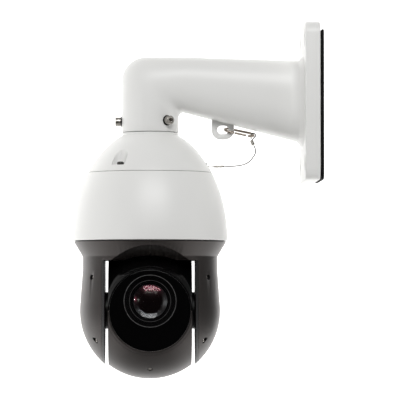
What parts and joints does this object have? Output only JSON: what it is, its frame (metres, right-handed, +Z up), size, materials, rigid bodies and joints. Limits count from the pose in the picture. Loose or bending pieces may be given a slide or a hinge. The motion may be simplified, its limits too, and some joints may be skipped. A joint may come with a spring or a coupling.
{
  "type": "ptz camera",
  "caption": "Speed-dome camera on a cast wall arm: egg-shaped housing, panning yoke, tilting ball head with zoom lens, and a wire-rope safety lanyard.",
  "frame": {"origin": "on the wall face, level with the middle of the arm's root and 2.2 mm above the middle of the wall plate", "axes": "+Z up, +X into the wall, -Y the side that the camera looks to at rest"},
  "size_m": [0.257, 0.16, 0.3644],
  "materials": {
    "white_paint": "satin white powder coat on cast aluminium",
    "dark_paint": "dark grey-brown moulded plastic, fine satin",
    "gloss_black": "polished black",
    "black_plastic": "black, fine satin",
    "satin_grey": "grey, satin",
    "smoked_glass": "smoked, polished",
    "lens_glass": "coated glass, polished",
    "rubber": "black, matt",
    "steel": "stainless, satin",
    "bright_steel": "stainless, bright",
    "dark_steel": "blackened",
    "sheet_steel": "zinc plated",
    "cast_grey": "as cast, grey",
    "brass": "turned",
    "acetal": "natural acetal",
    "circuit_board": "green solder mask"
  },
  "bodies": {
    "mount": {"bracket_arm": "white_paint", "wall_gasket": "rubber", "neck_screw_left": "steel", "neck_screw_front": "steel", "neck_screw_rear": "steel", "mounting_spigot": "cast_grey", "top_cap": "white_paint", "cap_seal": "rubber", "cap_screw_front": "dark_steel", "cap_screw_right": "dark_steel", "cap_screw_rear": "dark_steel", "dome_housing": "white_paint", "chassis_plate": "sheet_steel", "pan_bearing": "bright_steel", "pan_motor": "sheet_steel", "power_board": "circuit_board", "slip_ring_stator": "black_plastic", "safety_rope": "bright_steel", "rope_eye": "bright_steel", "rope_ferrule_hook": "steel", "rope_ferrule_dome": "steel", "snap_hook": "bright_steel"},
    "hook_gate": {"hook_gate": "bright_steel"},
    "pan_pinion": {"pan_pinion": "brass"},
    "turret": {"pan_gear": "acetal", "turntable": "black_plastic", "slip_ring_rotor": "black_plastic", "yoke_frame": "cast_grey", "yoke_shell_left": "dark_paint", "yoke_shell_right": "dark_paint", "arm_inner_plate_left": "black_plastic", "arm_inner_plate_right": "black_plastic", "arm_screw_left_front_upper": "dark_steel", "arm_screw_left_front_lower": "dark_steel", "arm_screw_left_rear_upper": "dark_steel", "arm_screw_left_rear_lower": "dark_steel", "arm_screw_right_front_upper": "dark_steel", "arm_screw_right_front_lower": "dark_steel", "arm_screw_right_rear_upper": "dark_steel", "arm_screw_right_rear_lower": "dark_steel", "tilt_motor": "sheet_steel", "tilt_belt": "rubber", "tilt_bearing_left": "bright_steel", "tilt_bearing_right": "bright_steel"},
    "tilt_motor_pulley": {"tilt_motor_pulley": "brass"},
    "head": {"tilt_axle_left": "dark_steel", "tilt_axle_right": "dark_steel", "tilt_pulley": "acetal", "head_hood": "gloss_black", "head_front_shell": "dark_paint", "head_rear_shell": "dark_paint", "head_screw": "dark_steel", "window_bezel": "satin_grey", "window_glass": "smoked_glass", "lens_barrel": "black_plastic", "front_lens": "lens_glass", "camera_module": "sheet_steel", "ir_board": "circuit_board"},
    "zoom_group": {"zoom_group": "lens_glass"},
    "focus_group": {"focus_group": "lens_glass"}
  },
  "joints": [
    {"name": "pan", "type": "hinge", "parent": "mount", "child": "turret", "pos_m": [-0.177, 0, -0.108], "axis": [0, 0, 1], "continuous": true},
    {"name": "pan_pinion_spin", "type": "hinge", "parent": "mount", "child": "pan_pinion", "pos_m": [-0.177, 0.045, -0.119], "axis": [0, 0, 1], "continuous": true},
    {"name": "tilt", "type": "hinge", "parent": "turret", "child": "head", "pos_m": [-0.177, 0, -0.216], "axis": [1, 0, 0], "range_deg": [-15, 90]},
    {"name": "tilt_motor_spin", "type": "hinge", "parent": "turret", "child": "tilt_motor_pulley", "pos_m": [-0.232, 0, -0.18], "axis": [1, 0, 0], "range_deg": [-65, 365]},
    {"name": "zoom", "type": "slide", "parent": "head", "child": "zoom_group", "axis": [0, -1, 0], "range_m": [0, 0.006]},
    {"name": "focus", "type": "slide", "parent": "head", "child": "focus_group", "axis": [0, -1, 0], "range_m": [0, 0.005]},
    {"name": "hook_gate", "type": "hinge", "parent": "mount", "child": "hook_gate", "pos_m": [-0.07772, -0.00507, -0.03521], "axis": [-0.1903, 0.342, -0.9202], "range_deg": [0, 20], "stiffness_Nm_per_rad": 0.02, "springref_deg": -17.19}
  ],
  "couplings": [
    {"joint": "pan_pinion_spin", "follows": "pan", "ratio": -4},
    {"joint": "tilt_motor_spin", "follows": "tilt", "ratio": 4}
  ]
}
